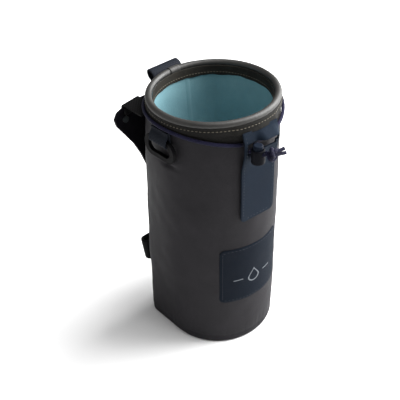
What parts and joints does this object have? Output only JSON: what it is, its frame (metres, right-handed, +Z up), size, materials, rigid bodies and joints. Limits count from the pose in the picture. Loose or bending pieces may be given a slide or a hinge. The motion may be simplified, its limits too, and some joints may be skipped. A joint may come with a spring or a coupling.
{
  "type": "insulated bottle pouch",
  "caption": "Round insulated fabric pouch with a rolled rim, draw cord and lock, side rings, stiff back plate and webbing loops for fixing to a bar.",
  "frame": {"origin": "on the floor under the centre of the round mouth, on the base panel's flat underside", "axes": "+Z up through the mouth; +Y towards the back plate and its loops; -Y the front with the strip and the patch"},
  "size_m": [0.1056, 0.1262, 0.2095],
  "materials": {
    "shell_fabric": "coated woven fabric, low sheen",
    "foam": "closed-cell foam",
    "lining": "coated aqua lining",
    "tape": "woven tape",
    "binding": "padded roll in smooth coated fabric",
    "hoop_cord": "extruded",
    "board": "sheet",
    "navy_fabric": "stiff laminated fabric",
    "patch": "smooth coated patch",
    "cord": "braided elastic cord",
    "lock_plastic": "moulded, satin",
    "button_plastic": "moulded, satin",
    "spring_steel": "wire",
    "webbing": "woven webbing",
    "navy_webbing": "woven webbing",
    "ring_plastic": "moulded, satin",
    "plate": "stiff sheet faced with fabric",
    "rivet_metal": "tubular rivet"
  },
  "bodies": {
    "pouch": {"outer_shell": "shell_fabric", "insulation_wall": "foam", "lining_wall": "lining", "inner_facing": "tape", "collar_band": "tape", "rim_binding": "binding", "rim_hoop": "hoop_cord", "base_panel": "shell_fabric", "base_stiffener": "board", "base_insulation": "foam", "lining_floor": "lining", "front_panel": "navy_fabric", "label_patch": "patch", "draw_cord": "cord", "cord_strands": "cord", "cord_knot": "cord", "cord_tails": "cord", "cord_lock_body": "lock_plastic", "cord_lock_spring": "spring_steel", "side_tab_left": "webbing", "side_tab_right": "webbing", "back_plate": "plate", "ear_rivets": "rivet_metal", "ear_strap_left": "webbing", "ear_strap_right": "webbing", "top_loop": "navy_webbing", "lower_loop": "webbing"},
    "lock_button": {"cord_lock_plunger": "button_plastic"},
    "ring_left": {"side_ring_left": "ring_plastic"},
    "ring_right": {"side_ring_right": "ring_plastic"}
  },
  "joints": [
    {"name": "lock_press", "type": "slide", "parent": "pouch", "child": "lock_button", "axis": [0, 0, -1], "range_m": [0, 0.0022], "stiffness_N_per_m": 900, "springref_m": -0.0015, "deforming": ["cord_lock_spring"]},
    {"name": "ring_swing_left", "type": "hinge", "parent": "pouch", "child": "ring_left", "pos_m": [-0.04972, 0, 0.1897], "axis": [0, 1, 0], "range_deg": [0, 120]},
    {"name": "ring_swing_right", "type": "hinge", "parent": "pouch", "child": "ring_right", "pos_m": [0.04972, 0, 0.1897], "axis": [0, -1, 0], "range_deg": [0, 120]}
  ]
}
